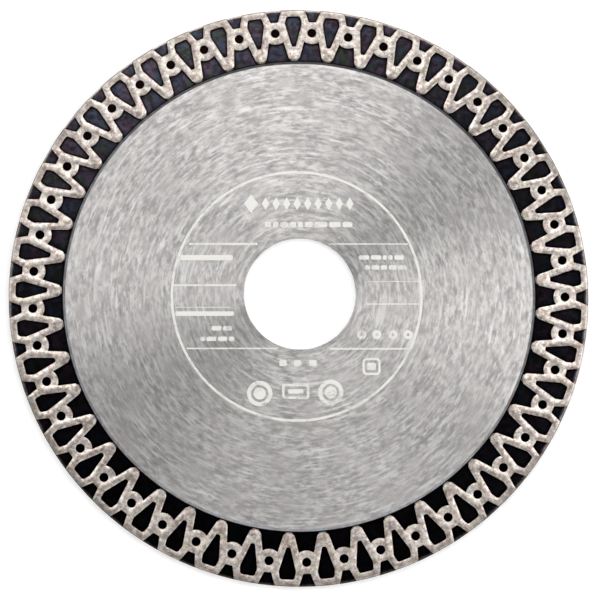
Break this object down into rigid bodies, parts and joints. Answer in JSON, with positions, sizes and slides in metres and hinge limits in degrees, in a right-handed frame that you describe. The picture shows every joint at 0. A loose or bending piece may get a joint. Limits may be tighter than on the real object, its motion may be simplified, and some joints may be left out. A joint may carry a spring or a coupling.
{
  "type": "diamond blade",
  "caption": "Thin round diamond cutting blade: ground steel core with a central bore and a sintered rim that carries a raised mesh on both faces.",
  "frame": {"origin": "on the bore's axis, half way through the blade's thickness", "axes": "+Z along the bore axis, out of the printed front face; +X through the middle of a mesh cell"},
  "size_m": [0.115, 0.115, 0.0014],
  "materials": {
    "core_steel": "ground steel with short strokes round the disc",
    "bond_metal": "black, satin, slightly rough",
    "web_metal": "black, satin, slightly rough",
    "diamond_matrix": "pale sintered metal with grit, dressed flat"
  },
  "bodies": {
    "root": {"steel_core": "core_steel", "bond_ring": "bond_metal", "centre_web": "web_metal", "front_mesh": "diamond_matrix", "back_mesh": "diamond_matrix"}
  },
  "joints": []
}
